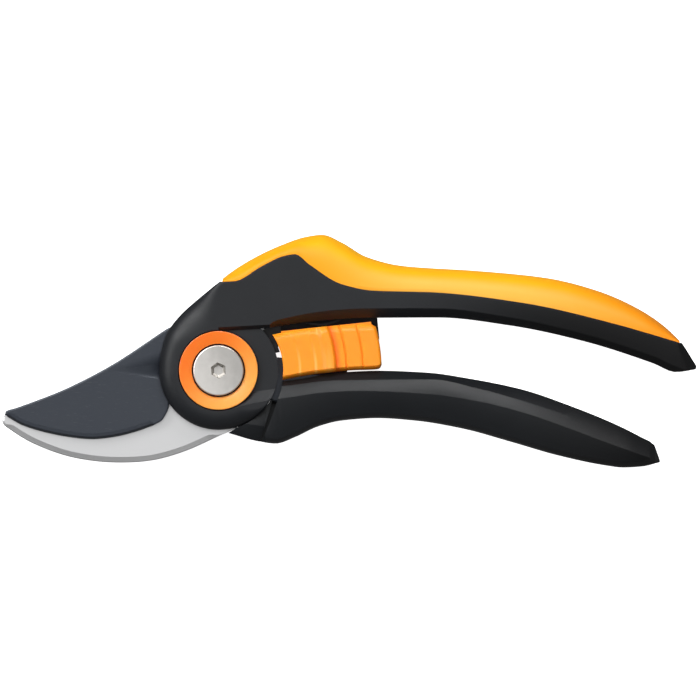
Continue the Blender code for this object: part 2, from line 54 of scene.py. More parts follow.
# Levels from the frame.
MIDDLE = (level("lock_slider_pin_1", 0) + level("lock_slider_pin_1", 1)) / 2
CHEEK_FRONT = level("upper_handle_core", 1)
FACE_HALF = CHEEK_FRONT - MIDDLE
RIDGE_HALF = level("lower_handle_core", 1) - MIDDLE
BLADE_FRONT = level("cutting_blade", 1)
BLADE_BACK = level("cutting_blade", 0)
HOOK_FRONT = level("hook_blade", 1)
HOOK_BACK = level("hook_blade", 0)
RING_TOP = level("front_bearing_ring", 1)
RING_FLOOR = level("front_bearing_ring", 0)
BACK_RING_TOP = level("back_bearing_ring", 1)
BACK_RING_FLOOR = level("back_bearing_ring", 0)
BOLT_TOP = level("pivot_bolt", 1)
BOLT_END = level("pivot_bolt", 0)
NUT_TOP = level("pivot_nut", 1)
PAD_FRONT = level("lock_slider_front", 1)
GAP = 0.3
SLOT_BACK = HOOK_BACK - GAP
SLOT_FRONT = BLADE_FRONT + GAP

# Angle in degrees from which an edge beside a level face is sharp.
LEVEL_CREASE = 6.0

# Pivot.
HEAD_RADIUS = 17.2
RING_OUTER = (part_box("front_bearing_ring")[1].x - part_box("front_bearing_ring")[0].x) / 2 / MM
RING_INNER = 7.7
BOLT_HEAD_RADIUS = (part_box("pivot_bolt")[1].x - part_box("pivot_bolt")[0].x) / 2 / MM - 0.1
BOLT_RADIUS = 3.2
NUT_WIDTH = 12.0
SOCKET_WIDTH = 4.0
SOCKET_DEPTH = 1.8
PIVOT_BORE = 5.1
WEB_RADIUS = 14.5
POCKET_RADIUS = 12.8

# Slider.
SLIDE_ANGLE = math.radians(6.0)
SLIDE_CENTRE = (31.3, 5.6)
PAD_INNER_ARC = 18.7
PAD_OUTER_ARC = 47.2
PAD_THICK = 4.8

# Upper handle.
NECK = ((-17.2, -1.0), (-16.9, 4.0), (-15.5, 9.6), (-13.4, 13.2), (-9.4, 17.6), (-2.4, 23.5), (0.4, 25.7))
UPPER_TOP = ((-2.4, 23.7), (4.5, 29.1), (11.4, 33.2), (18.4, 36.4), (25.3, 38.7), (30.0, 39.3),
             (35.7, 37.0), (42.7, 32.9), (53.0, 30.3), (75.0, 28.8), (94.7, 26.8), (108.6, 23.4),
             (122.4, 17.3), (132.8, 9.2), (138.2, 1.3))
GRIP_EDGE = ((0.8, 25.6), (4.7, 25.8), (12.5, 30.1), (19.0, 33.1), (22.2, 33.6), (26.3, 30.6),
             (35.5, 25.0), (44.7, 23.1), (61.7, 22.6), (88.2, 19.5), (114.8, 13.4), (133.4, 7.9))
UPPER_UNDER = ((14.4, 12.3), (26.4, 14.1), (43.2, 15.2), (63.5, 15.3), (84.3, 13.0), (105.1, 8.6),
               (125.9, 2.0), (132.3, -0.5), (138.0, 0.3))
WEB_LEVEL = 11.6
LEDGE_LEVEL = 11.5
SHELF_LEVEL = 11.4
BROW_LEVEL = 12.9
NUT_RECESS = 7.3
VALLEY_DEPTH = 1.5

# Lower handle.
LOWER_TOP = ((11.0, -3.6), (18.6, -3.2), (25.8, -2.2), (31.0, -1.1), (38.0, -0.4), (46.1, -0.1),
             (60.0, -0.6), (73.9, -2.6), (87.8, -5.5), (101.6, -10.2), (115.5, -15.9), (122.4, -19.4),
             (126.0, -21.5), (127.6, -25.8))
LOWER_BAND = ((11.0, -5.0), (18.7, -4.5), (33.6, -2.9), (61.7, -2.6), (74.9, -5.2), (88.2, -8.9),
              (101.5, -13.2), (114.8, -18.2), (124.0, -22.4), (127.6, -26.0))
LOWER_RIDGE = ((11.0, -8.6), (17.1, -8.2), (31.2, -6.3), (40.8, -5.9), (61.7, -6.9), (74.9, -8.9),
               (88.2, -12.2), (101.5, -16.8), (114.8, -21.8), (124.0, -25.0), (127.6, -26.2))
LOWER_UNDER = ((2.8, -18.1), (11.4, -20.5), (16.6, -21.2), (21.9, -19.4), (28.8, -16.2), (35.7, -14.5),
               (46.0, -13.8), (56.5, -14.5), (70.4, -16.8), (84.3, -20.6), (98.2, -24.6),
               (112.0, -27.5), (117.0, -28.1), (122.4, -27.8), (127.6, -26.6))
JOINT_LINE = ((18.6, -2.0), (18.1, -5.7), (17.2, -8.2), (14.9, -14.8), (12.2, -21.5))
CHIN_FRONT = 14.5
BRIDGE_LEVEL = 9.9

# Blades.
HOOK_OUTER = ((-62.8, -14.5), (-62.4, -15.6), (-60.9, -16.9), (-54.3, -20.9), (-45.4, -24.4), (-36.6, -26.2),
              (-27.7, -26.7), (-18.9, -26.0), (-10.0, -23.5), (-1.2, -19.6), (5.9, -16.0), (11.0, -9.5),
              (13.4, -2.0))
HOOK_TANG = ((13.0, 4.0), (13.2, 10.5), (15.2, 14.2), (19.0, 18.2), (30.0, 19.4), (30.0, 25.6), (16.0, 27.0),
             (6.0, 23.0), (-3.0, 16.5), (-9.0, 9.5))
HOOK_INNER = ((-12.0, 5.0), (-13.0, -4.5), (-17.0, -9.0), (-24.0, -13.2), (-32.0, -15.8),
              (-40.0, -16.2), (-48.0, -15.2), (-56.0, -13.2), (-61.2, -12.4), (-62.3, -13.3))
BLADE_BACK_EDGE = ((-61.8, -12.7), (-61.2, -11.6), (-56.8, -10.2), (-44.0, -5.2), (-30.2, 2.0),
                   (-16.3, 11.2), (-13.8, 12.6))
BLADE_TANG = ((17.0, 3.8), (19.5, 3.6), (19.7, 0.9), (26.0, -0.6), (43.0, -3.0), (44.0, -4.5),
              (43.0, -9.4), (17.0, -9.2))
BLADE_HEEL = ((-14.2, -8.9), (-14.5, -10.9), (-15.3, -12.7), (-16.6, -14.6), (-19.3, -16.1))
BLADE_CUTTING_EDGE = ((-19.3, -16.1), (-24.2, -17.8), (-29.9, -19.2), (-36.6, -19.9), (-43.2, -19.3),
                      (-49.9, -18.0), (-56.5, -16.0), (-60.9, -13.6))


# ---- Curves ----

def slope_at(points, index):
    """Slope of the smooth curve at one of its points, kept low enough that it never overshoots."""
    if index == 0 or index == len(points) - 1:
        first, last = points[max(index - 1, 0)], points[min(index + 1, len(points) - 1)]
        return (last[1] - first[1]) / (last[0] - first[0])
    before, here, after = points[index - 1:index + 2]
    run_before, run_after = here[0] - before[0], after[0] - here[0]
    rise_before, rise_after = (here[1] - before[1]) / run_before, (after[1] - here[1]) / run_after
    if rise_before * rise_after <= 0.0:
        return 0.0
    weight_before, weight_after = run_before + 2 * run_after, 2 * run_before + run_after
    return (weight_before + weight_after) / (weight_before / rise_before + weight_after / rise_after)


def height(points, x):
    """Height at x of a smooth curve through points that run along X."""
    last = len(points) - 2
    index = next((i for i in range(last) if x < points[i + 1][0]), last)
    (x0, y0), (x1, y1) = points[index], points[index + 1]
    run = x1 - x0
    t = min(max((x - x0) / run, 0.0), 1.0)
    rise = y1 - y0
    enter, leave = slope_at(points, index) * run, slope_at(points, index + 1) * run
    return y0 + t * (enter + t * (3 * rise - 2 * enter - leave + t * (enter + leave - 2 * rise)))


def trace(points, start, end, step):
    """Points along a height curve from one x to another."""
    count = max(1, round(abs(end - start) / step))
    spots = [start + (end - start) * i / count for i in range(count + 1)]
    return [(x, height(points, x)) for x in spots]


def smooth_run(points, steps):
    """Points along a smooth curve through the given ones, a few steps between each pair."""
    padded = [Vector(points[0]) * 2 - Vector(points[1])]
    padded += [Vector(point) for point in points]
    padded.append(Vector(points[-1]) * 2 - Vector(points[-2]))
    run = []
    for a, b, c, d in zip(padded, padded[1:], padded[2:], padded[3:]):
        for step in range(steps):
            t = step / steps
            bend = (c - a) * t + (2 * a - 5 * b + 4 * c - d) * t * t + (3 * b - a - 3 * c + d) * t ** 3
            run.append(tuple(b + bend * 0.5))
    return run + [tuple(points[-1])]


def arc(radius, start, end, steps):
    """Points on a circle about the pivot axis, from one angle in degrees to another."""
    angles = [math.radians(start + (end - start) * step / steps) for step in range(steps + 1)]
    return [(radius * math.cos(angle), radius * math.sin(angle)) for angle in angles]


def ramp(value, low, high):
    """A smooth 0 to 1 as value runs from low to high."""
    t = min(max((value - low) / (high - low), 0.0), 1.0)
    return t * t * (3 - 2 * t)


def slide_point(along, across):
    """Place of a point given along and across the slider's path."""
    cos, sin = math.cos(SLIDE_ANGLE), math.sin(SLIDE_ANGLE)
    return (SLIDE_CENTRE[0] + along * cos - across * sin, SLIDE_CENTRE[1] + along * sin + across * cos)


def slide_block(start, end, low, high):
    """Four corners of a block that lies along the slider's path."""
    return [slide_point(start, low), slide_point(end, low), slide_point(end, high),
            slide_point(start, high)]


# ---- Meshes ----

def made(name, mesh, smooth=35.0):
    """A new object in metres from a mesh in millimetres, its faces turned outwards."""
    bmesh.ops.remove_doubles(mesh, verts=mesh.verts[:], dist=0.002)
    bmesh.ops.recalc_face_normals(mesh, faces=mesh.faces[:])
    bmesh.ops.scale(mesh, verts=mesh.verts[:], vec=(MM, MM, MM))
    data = bpy.data.meshes.new(name)
    mesh.to_mesh(data)
    mesh.free()
    piece = bpy.data.objects.new(name, data)
    bpy.context.scene.collection.objects.link(piece)
    crease(piece, smooth)
    return piece


def crease(piece, angle=28.0):
    """Shade a piece smooth, but sharp above an angle in degrees, and sooner beside a level face."""
    mesh = bmesh.new()
    mesh.from_mesh(piece.data)
    for face in mesh.faces:
        face.smooth = True
    for edge in mesh.edges:
        beside_level = any(abs(face.normal.z) > 0.99995 for face in edge.link_faces)
        limit = min(angle, LEVEL_CREASE) if beside_level else angle
        edge.smooth = edge.calc_face_angle(0.0) < math.radians(limit)
    mesh.to_mesh(piece.data)
    mesh.free()


def inward(outline):
    """Unit normals that point into a counter-clockwise outline, lengthened at its corners."""
    points = [Vector(point) for point in outline]
    normals = []
    for before, here, after in zip(points[-1:] + points, points, points[1:] + points[:1]):
        enter, leave = (here - before).normalized(), (after - here).normalized()
        spread = Vector((-enter.y, enter.x)) + Vector((-leave.y, leave.x))
        normals.append(spread * min(2 / max(spread.length_squared, 0.2), 1.2))
    return normals


def rimmed(outline, front, back):
    """A mesh from an outline and two edge treatments.

    front and back each give, for a corner's index, its rim as (inset, level) pairs from the side wall
    to the flat face. All corners have the same number of pairs.
    """
    mesh = bmesh.new()
    number = mesh.verts.layers.int.new("corner")
    normals = inward(outline)

    def place(vert, rim, step):
        corner = vert[number]
        inset, z = rim(corner)[step]
        x, y = Vector(outline[corner]) + normals[corner] * inset
        vert.co = (x, y, z)

    first = []
    for corner in range(len(outline)):
        vert = mesh.verts.new()
        vert[number] = corner
        place(vert, front, 0)
        first.append(vert)
    start = [mesh.edges.new((first[i - 1], first[i])) for i in range(len(first))]
    for rim, opening in ((front, 1), (back, 0)):
        edges = start
        for step in range(opening, len(rim(0))):
            grown = bmesh.ops.extrude_edge_only(mesh, edges=edges)["geom"]
            edges = [item for item in grown if isinstance(item, bmesh.types.BMEdge)]
            for vert in {vert for edge in edges for vert in edge.verts}:
                place(vert, rim, step)
            flat = {vert for edge in edges for vert in edge.verts}
            edges = [edge for edge in edges if edge.verts[0] in flat and edge.verts[1] in flat]
        bmesh.ops.contextual_create(mesh, geom=edges)
    return mesh


def prism(outline, low, high):
    """A plain block with the outline, from one level to another."""
    return rimmed(outline, lambda corner: [(0.0, low), (0.0, high)], lambda corner: [(0.0, low)])


def turned(profile, steps=96):
    """A profile of (radius, level) pairs spun about the pivot axis."""
    mesh = bmesh.new()
    corners = [mesh.verts.new((radius, 0.0, z)) for radius, z in profile]
    edges = [mesh.edges.new((corners[i - 1], corners[i])) for i in range(len(corners))]
    bmesh.ops.spin(mesh, geom=edges, cent=(0, 0, 0), axis=(0, 0, 1), angle=math.tau,
                   steps=steps, use_merge=True)
    return mesh


def disc_profile(radius, low, high, edge):
    """Profile of a round solid that closes on the axis."""
    return [(0.0, low), (radius - edge, low), (radius, low + edge), (radius, high - edge),
            (radius - edge * 0.3, high - edge * 0.3), (radius - edge, high), (0.0, high)]


def lofted(sections):
    """A skin through closed sections with the same number of corners, closed at both ends."""
    mesh = bmesh.new()
    rings = []
    for section in sections:
        corners = [mesh.verts.new(point) for point in section]
        rings.append([mesh.edges.new((corners[i - 1], corners[i])) for i in range(len(corners))])
    for near, far in zip(rings, rings[1:]):
        bmesh.ops.bridge_loops(mesh, edges=near + far)
    for end in (rings[0], rings[-1]):
        bmesh.ops.contextual_create(mesh, geom=end)
    return mesh


def carve(piece, *tools, operation="DIFFERENCE"):
    """Cut the tool meshes out of a piece, or join them on, and keep only the result."""
    for tool in tools:
        other = made("tool", tool)
        modifier = piece.modifiers.new("carve", "BOOLEAN")
        modifier.object = other
        modifier.operation = operation
        modifier.solver = "EXACT"
        settle(piece)
        bpy.data.objects.remove(other, do_unlink=True)


def settle(piece):
    """Apply a piece's modifiers to its mesh."""
    graph = bpy.context.evaluated_depsgraph_get()
    data = bpy.data.meshes.new_from_object(piece.evaluated_get(graph))
    piece.modifiers.clear()
    piece.data = data


def soften(piece, width, segments=2, angle=25.0):
    """Round a finished piece's sharp edges."""
    modifier = piece.modifiers.new("soften", "BEVEL")
    modifier.width = width * MM
    modifier.segments = segments
    modifier.limit_method = "ANGLE"
    modifier.angle_limit = math.radians(angle)
    modifier.harden_normals = False
    settle(piece)
    crease(piece, 30)


def halves(profile, x):
    """A section given as (height, half width) pairs, mirrored about the middle plane at x."""
    front = [(x, y, MIDDLE + half) for y, half in profile]
    back = [(x, y, MIDDLE - half) for y, half in reversed(profile)]
    return front + back


# ---- Upper handle ----

# Ways from the side wall to the flat face, as shares of a rim's width and drop, with a level strip last.
LEVEL_STRIP = [(1.08, 0.0)]
SOFT = [(1 - math.cos(math.radians(a)), 1 - math.sin(math.radians(a))) for a in range(0, 91, 9)]
SOFT += LEVEL_STRIP
STRAIGHT = [(i / 10, 1 - i / 10) for i in range(11)] + LEVEL_STRIP


def upper_outline():
    """Outline of the black handle as (x, y, rim width, rim drop, softness), counter-clockwise."""
    rows = []
    for x, y in arc(HEAD_RADIUS, 183.3, 405.0, 90):
        angle = math.degrees(math.atan2(y, x)) % 360
        right = ramp(angle, 292, 326) if angle > 180 else 1.0
        rows.append((x, y, 5.2 - 4.7 * right, 3.8 - 3.4 * right, 1.0))
    for x, y in trace(UPPER_UNDER, 14.4, 138.0, 1.5):
        thin = 1 - 0.6 * ramp(x, 131.0, 138.0)
        near, rear = ramp(x, 14.0, 17.0), ramp(x, 50.0, 100.0)
        width = 0.5 + 1.3 * near + 0.9 * ramp(x, 14.0, 34.0) + 0.5 * rear
        rows.append((x, y, width * thin, (0.4 + 2.9 * near + 1.5 * rear) * thin, 0.12))
    for x, y in trace(UPPER_TOP, 138.2, 133.8, 1.0):
        rows.append((x, y, 0.8, 1.4, 0.6))
    for x, y in trace(GRIP_EDGE, 133.4, 1.6, 1.2):
        rows.append((x, y, 0.8, 0.12, 1.0))
    neck = smooth_run(NECK, 10)
    for x, y in reversed(neck[1:]):
        swell, fade = ramp(x, -16.5, -11.0), ramp(x, -9.0, 0.6)
        rows.append((x, y, 5.2 + 3.2 * swell - 7.1 * fade, 3.8 - 3.3 * fade, 1.0))
    return rows


def upper_handle():
    """The black handle with its round head: soft rims, lower chamfer, slots and recesses."""
    rows = upper_outline()

    def rim(side):
        def steps(corner):
            _, _, width, drop, soft = rows[corner]
            face = MIDDLE + side * FACE_HALF
            mixed = [(soft * s[0] + (1 - soft) * c[0], soft * s[1] + (1 - soft) * c[1])
                     for s, c in zip(SOFT, STRAIGHT)]
            return [(width * a, face - side * drop * b) for a, b in mixed]
        return steps

    piece = made("handle_upper", rimmed([row[:2] for row in rows], rim(1), rim(-1)))
    web = arc(19.2, 20.0, 42.0, 12) + arc(16.8, 42.0, 20.7, 12)
    brow = arc(18.5, 16.6, 26.0, 6) + arc(16.8, 26.0, 17.2, 6)
    ledge = [(13.0, 11.2), (15.4, 10.5), (17.9, 10.78), (17.9, 14.2), (13.5, 13.7)]
    shelf = [(13.6, 9.4), (17.7, 9.8), (17.7, 11.6), (13.7, 11.4)]
    carve(piece, prism(web, HOOK_FRONT + 0.6, WEB_LEVEL), prism(ledge, HOOK_FRONT + 0.7, LEDGE_LEVEL),
          prism(shelf, HOOK_FRONT + 0.8, SHELF_LEVEL), prism(brow, SLOT_FRONT - 0.4, BROW_LEVEL),
          operation="UNION")
    jaw = [(-2.5, 45.0), (-45.0, 45.0), (-45.0, -30.0), (30.0, -30.0), (30.0, 7.0)]
    jaw += arc(WEB_RADIUS, 28.0, 98.0, 20)
    carve(piece, prism(jaw, SLOT_BACK, SLOT_FRONT))
    carve(piece, prism([(0.0, 0.0), (14.1, 3.0), (15.3, 13.5), (19.0, 17.9), (30.3, 19.1), (30.3, 25.9),
                        (16.0, 27.3), (5.9, 23.3), (-3.2, 16.7), (-10.0, 9.0)],
                       SLOT_BACK, HOOK_FRONT + GAP))
    recess = RING_OUTER + 0.35
    carve(piece, turned(disc_profile(recess, RING_FLOOR - GAP, CHEEK_FRONT + 3, 0.1)),
          turned(disc_profile(recess, -3.0, BACK_RING_TOP + GAP, 0.1)),
          turned(disc_profile(NUT_RECESS, -3.0, NUT_TOP + GAP, 0.1)),
          turned(disc_profile(BOLT_RADIUS + GAP, -3.0, CHEEK_FRONT + 3, 0.1), steps=32),
          turned(disc_profile(POCKET_RADIUS, SLOT_FRONT - 1, SLOT_FRONT + 1.6, 0.1)))
    carve(piece, valley(1), valley(-1), tail_wedge(1), tail_wedge(-1), tail_slope(1), tail_slope(-1))
    carve(piece, prism(slide_block(-13.3, 15.8, 5.0, 12.0), MIDDLE - 1.3, MIDDLE + 1.3))
    for centre in rivet_centres("hook_rivet"):
        carve(piece, plug(centre, RIVET_HEAD + GAP, -2.0, level("hook_rivet_1", 0) + 1.3))
    crease(piece)
    return piece


def tail_wedge(side):
    """What the sloping facet at the very end of the handle takes off."""
    face = MIDDLE + side * FACE_HALF
    return lofted([[(132.6, y, face + side * 0.02), (141.0, y, face - side * 6.4),
                    (141.0, y, face + side * 2), (132.4, y, face + side * 2)] for y in (-6.0, 14.0)])


def tail_slope(side):
    """What the flat face loses as it tips over towards the underside along the rear of the handle."""
    face = MIDDLE + side * FACE_HALF
    sections = []
    for x in [50.0 + 92.0 * i / 46 for i in range(47)]:
        deep = 3.0 * ramp(x, 50.0, 105.0)
        edge, under = height(GRIP_EDGE, min(x, 133.0)) - 0.5, height(UPPER_UNDER, min(x, 132.0)) - 2.0
        sections.append([(x, edge, face + side * 0.01), (x, under, face - side * deep),
                         (x, under, face + side * 2), (x, edge, face + side * 2)])
    return lofted(sections)


def valley(side):
    """The lower flat to the right of the ring, with its sloping grey facet."""
    face = MIDDLE + side * (FACE_HALF + 0.6)
    floor = MIDDLE + side * (FACE_HALF - VALLEY_DEPTH)
    shelf = MIDDLE + side * (FACE_HALF - 0.1)
    sections = []
    for x, low, bend, top in ((0.0, -11.6, -7.8, 11.3), (24.0, -6.4, -4.1, 12.6)):
        sections.append([(x, low - 1.2, face), (x, low, shelf), (x, bend, floor), (x, top, floor),
                         (x, top + 1.6, face)])
    return lofted(sections)


RIVET_HEAD = 3.0


def rivet_centres(stem):
    """Centres of a pair of rivets of the frame."""
    centres = []
    for number in (1, 2):
        low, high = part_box(f"{stem}_{number}")
        centres.append((low + high) / 2 / MM)
    return centres


def plug(centre, radius, low, high):
    """A round block about an axis of its own."""
    mesh = turned(disc_profile(radius, low, high, 0.1), steps=32)
    bmesh.ops.translate(mesh, verts=mesh.verts[:], vec=(centre.x, centre.y, 0))
    return mesh


def soft_grip():
    """The soft overmould: a full round cap over the back of the handle."""
    sections = []
    stations = [1.15 + 132.1 * i / 132 for i in range(133)]
    for x in stations:
        low, top = height(GRIP_EDGE, x) - 0.1, height(UPPER_TOP, x)
        rise = top - low
        half = FACE_HALF * (1 - 0.12 * ramp(x, 122.0, 133.0))
        profile = [(low, half - 0.35), (low + 0.05, half - 0.04), (low + 0.15, half + 0.04)]
        for step in range(1, 17):
            share = math.sin(math.radians(90.0 * step / 16))
            profile.append((low + 0.15 + (rise - 0.15) * share, (half + 0.04) * (1 - share ** 2.4) ** 0.5))
        profile[-1] = (top, 0.12)
        sections.append(halves(profile, x))
    return made("grip_soft", lofted(sections), smooth=40)


# ---- Lower handle ----

def lower_handle():
    """The faceted black handle with its chin plate and the groove between them."""
    sections = []
    count = 78
    for i in range(count + 1):
        x = 11.0 + 116.6 * i / count
        top, under = height(LOWER_TOP, x), height(LOWER_UNDER, x)
        scale = 1 - 0.15 * ramp(x, 117.0, 126.0) - 0.35 * ramp(x, 125.5, 127.6)
        ridge = min(height(LOWER_RIDGE, x), top - 0.3)
        band = min(max(height(LOWER_BAND, x), ridge + 0.1), top - 0.1)
        profile = [(under, 3.6), (under + min(0.5, 0.05 * (top - under)), 5.2),
                   (under + min(1.4, 0.2 * (top - under)), 6.7), (ridge, RIDGE_HALF),
                   (band, 7.4 - 0.8 * ramp(x, 84.0, 118.0)),
                   (top, 4.6)]
        sections.append(halves([(y, half * scale) for y, half in profile], x))
    piece = made("handle_lower", lofted(sections))
    carve(piece, prism([(18.6, 5.0), (5.0, 5.0), (5.0, -30.0), (12.0, -30.0)] + list(reversed(JOINT_LINE)),
                       -2.0, 20.0))
    under = trace(LOWER_UNDER, 2.8, 10.9, 1.5)
    rim = arc(HEAD_RADIUS + 0.08, -29.7, -72.0, 24)
    chin = under + [(11.9, -20.6), (13.1, -16.9), (14.5, -12.4), (15.5, -8.7)] + rim
    bridge = under + [(15.0, height(LOWER_UNDER, 15.0)), (22.0, -16.0), (20.0, -9.0), (15.2, -8.7)] + rim
    chin_low = BLADE_BACK + GAP
    carve(piece, prism(chin, chin_low, CHIN_FRONT), prism(bridge, chin_low, BRIDGE_LEVEL), operation="UNION")
    lip = arc(14.3, -30.5, -71.0, 20) + arc(17.6, -71.0, -30.5, 20)
    shield = arc(HEAD_RADIUS + 0.12, -9.0, -46.0, 20) + [(13.5, -14.5), (19.5, -12.0), (20.5, -3.6)]
    fin = [(20.0, -4.5), (37.5, -1.5), (37.0, 0.5), (31.0, 0.2), (24.5, -0.8), (20.0, -1.8)]
    carve(piece, prism(lip, chin_low + 0.1, BLADE_FRONT), prism(shield, 2.0, SLOT_BACK),
          prism(fin, 6.6, 11.3), operation="UNION")
    slope = ((-8.0, 14.6), (-15.8, 14.2), (-24.0, 10.8), (-24.0, 18.0), (-8.0, 18.0))
    facets = [[(x, y + tip, z) for y, z in slope] for x, tip in ((0.0, 1.5), (13.6, -0.4))]
    carve(piece, lofted(facets))
    slot = [(8.0, -9.8), (44.3, -9.8), (44.3, 5.0), (8.0, 5.0)]
    carve(piece, prism(slot, BLADE_BACK - GAP, BLADE_FRONT + GAP))
    for centre in rivet_centres("blade_rivet"):
        carve(piece, plug(centre, RIVET_HEAD + GAP, -2.0, level("blade_rivet_1", 0) + 1.3))
    soften(piece, 0.25, angle=11)
    return piece


# ---- Blades ----

def cutting_blade():
    """The coated blade: thin bright line on its back, ground bevel along its cutting edge."""
    back_edge = smooth_run(BLADE_BACK_EDGE, 10)
    heel = arc(13.5, 137.6, 17.0, 30) + list(BLADE_TANG) + arc(13.5, -34.0, -143.0, 24)
    heel += smooth_run(BLADE_HEEL, 4)[:-1]
    cutting = smooth_run(BLADE_CUTTING_EDGE, 8)
    outline = list(reversed(back_edge + heel + cutting))

    def front(corner):
        if corner < len(cutting):
            return [(0.0, BLADE_FRONT - 1.5), (0.5, BLADE_FRONT - 0.45), (0.75, BLADE_FRONT - 0.13),
                    (1.7, BLADE_FRONT)]
        return [(0.0, BLADE_FRONT - 0.3), (0.03, BLADE_FRONT - 0.16), (0.35, BLADE_FRONT - 0.03),
                (0.45, BLADE_FRONT)]

    def back(corner):
        return [(0.0, BLADE_BACK + 0.25), (0.25, BLADE_BACK)]

    piece = made("blade_cutting", rimmed(outline, front, back), smooth=30)
    carve(piece, turned(disc_profile(PIVOT_BORE, 0.0, 20.0, 0.1), steps=48))
    return piece


def hook_blade():
    """The bright hook with the ground stripe along its outer edge."""
    outer = smooth_run(HOOK_OUTER, 8)
    inner = smooth_run(HOOK_INNER, 8)
    outline = outer + list(HOOK_TANG) + inner
    ends = [point[0] for point in outer]

    def front(corner):
        if corner < len(outer):
            fade = 1 - ramp(ends[corner], -2.6, 0.8)
            width = 1.4 * fade * (0.3 + 0.7 * ramp(ends[corner], -62.7, -60.0)) + 0.12
            return [(0.0, HOOK_FRONT - width * 0.4), (width * 0.14, HOOK_FRONT - width * 0.17),
                    (width, HOOK_FRONT - 0.02), (width + 0.1, HOOK_FRONT)]
        return [(0.0, HOOK_FRONT - 0.3), (0.1, HOOK_FRONT - 0.15), (0.2, HOOK_FRONT - 0.06),
                (0.3, HOOK_FRONT)]

    def back(corner):
        return [(0.0, HOOK_BACK + 0.3), (0.3, HOOK_BACK)]

    piece = made("blade_hook", rimmed(outline, front, back), smooth=25)
    carve(piece, turned(disc_profile(PIVOT_BORE, 0.0, 20.0, 0.1), steps=48))
    return piece


# ---- Pivot ----

def front_ring():
    dish = 0.65
    profile = [(RING_INNER, RING_FLOOR), (RING_OUTER, RING_FLOOR), (RING_OUTER, RING_TOP - 0.2),
               (RING_OUTER - 0.06, RING_TOP - 0.06), (RING_OUTER - 0.2, RING_TOP),
               (RING_INNER + 0.2, RING_TOP - dish), (RING_INNER + 0.06, RING_TOP - dish - 0.06),
               (RING_INNER, RING_TOP - dish - 0.2)]
    return made("ring_front", turned(profile, 128), smooth=18)


def back_ring():
    profile = [(RING_INNER, BACK_RING_TOP), (RING_OUTER, BACK_RING_TOP),
               (RING_OUTER, BACK_RING_FLOOR + 0.25), (RING_OUTER - 0.25, BACK_RING_FLOOR),
               (RING_INNER + 0.3, BACK_RING_FLOOR + 0.3), (RING_INNER, BACK_RING_FLOOR + 0.6)]
    return made("ring_back", turned(profile, 128))


def hexagon(width, turn=0.0):
    corner = width / math.sqrt(3.0)
    return [(corner * math.cos(turn + math.tau * i / 6), corner * math.sin(turn + math.tau * i / 6))
            for i in range(6)]


def bolt():
    """The round bolt head with its hex socket, slightly domed, on the shank."""
    seat = BOLT_TOP - 2.2
    profile = [(0.0, BOLT_END), (BOLT_RADIUS - 0.3, BOLT_END), (BOLT_RADIUS, BOLT_END + 0.3),
               (BOLT_RADIUS, seat), (BOLT_HEAD_RADIUS - 0.1, seat), (BOLT_HEAD_RADIUS, seat + 0.1),
               (BOLT_HEAD_RADIUS, BOLT_TOP - 0.3), (BOLT_HEAD_RADIUS - 0.08, BOLT_TOP - 0.14),
               (BOLT_HEAD_RADIUS - 0.25, BOLT_TOP - 0.08), (3.0, BOLT_TOP), (0.0, BOLT_TOP)]
    piece = made("bolt_head", turned(profile, 128), smooth=15)
    sizes = ((SOCKET_WIDTH + 0.3, BOLT_TOP + 0.2), (SOCKET_WIDTH - 1.5, BOLT_TOP - SOCKET_DEPTH))
    taper = [[(x, y, z) for x, y in hexagon(width, math.radians(94))] for width, z in sizes]
    carve(piece, lofted(taper))
    crease(piece, 15)
    return piece


def nut():
    def top(corner):
        return [(0.0, NUT_TOP - 0.3), (0.3, NUT_TOP)]

    def bottom(corner):
        return [(0.0, 0.45), (0.2, 0.15), (0.6, 0.0)]

    outline = hexagon(NUT_WIDTH)
    piece = made("nut_cap", rimmed(outline, top, bottom))
    carve(piece, turned(disc_profile(BOLT_RADIUS + GAP, 0.6, 6.0, 0.1), steps=32))
    soften(piece, 0.12, segments=2, angle=20)
    return piece


def rivets(stem):
    """Domed rivets at the places of a pair in the frame."""
    pieces = []
    for number, centre in enumerate(rivet_centres(stem), 1):
        low, high = level(f"{stem}_{number}", 0), level(f"{stem}_{number}", 1)
        dome = [(0.0, low), (1.4, low + 0.04), (2.4, low + 0.2), (RIVET_HEAD, low + 0.6),
                (RIVET_HEAD, low + 1.0), (2.0, low + 1.0), (2.0, high - 0.2), (1.8, high), (0.0, high)]
        mesh = turned(dome, 40)
        bmesh.ops.translate(mesh, verts=mesh.verts[:], vec=(centre.x, centre.y, 0))
        pieces.append((made(f"{stem}_head_{number}", mesh), f"{stem}_{number}"))
    return pieces


# ---- Slider ----

def pad_level(radius):
    """How far the thumb pad's face lies below its highest level, at a distance from the pivot."""
    if radius < 33.0:
        rise = 0.34 * ramp(radius, 23.0, 24.0) + 0.34 * ramp(radius, 27.6, 28.6)
        rise += 0.66 * ramp(radius, 29.7, 31.7)
        sag = 0.12 * (ramp(radius, 19.0, 23.0) + ramp(radius, 24.0, 27.6))
        return 1.1 - rise + sag
    drop = 1.25 * ramp(radius, 33.4, 34.4) - 0.3 * ramp(radius, 34.4, 37.0)
    for groove in (37.1, 41.9):
        drop += 0.4 * math.exp(-((radius - groove) / 0.3) ** 2)
    return drop


PAD_TOP = ((18.7, 10.3), (24.0, 11.5), (29.8, 12.3), (39.2, 13.1), (46.0, 13.3), (47.2, 12.6))
PAD_BOTTOM = ((18.7, -2.8), (24.06, -1.7), (31.2, -0.7), (38.4, 0.0), (45.6, 0.3), (46.6, 0.6), (47.2, 1.5))
PAD_WALL = 3.1


def pad_span(radius):
    """Angles of the pad's bottom and top edges at a distance from the pivot."""
    return [math.asin(height(edge, radius) / radius) for edge in (PAD_BOTTOM, PAD_TOP)]


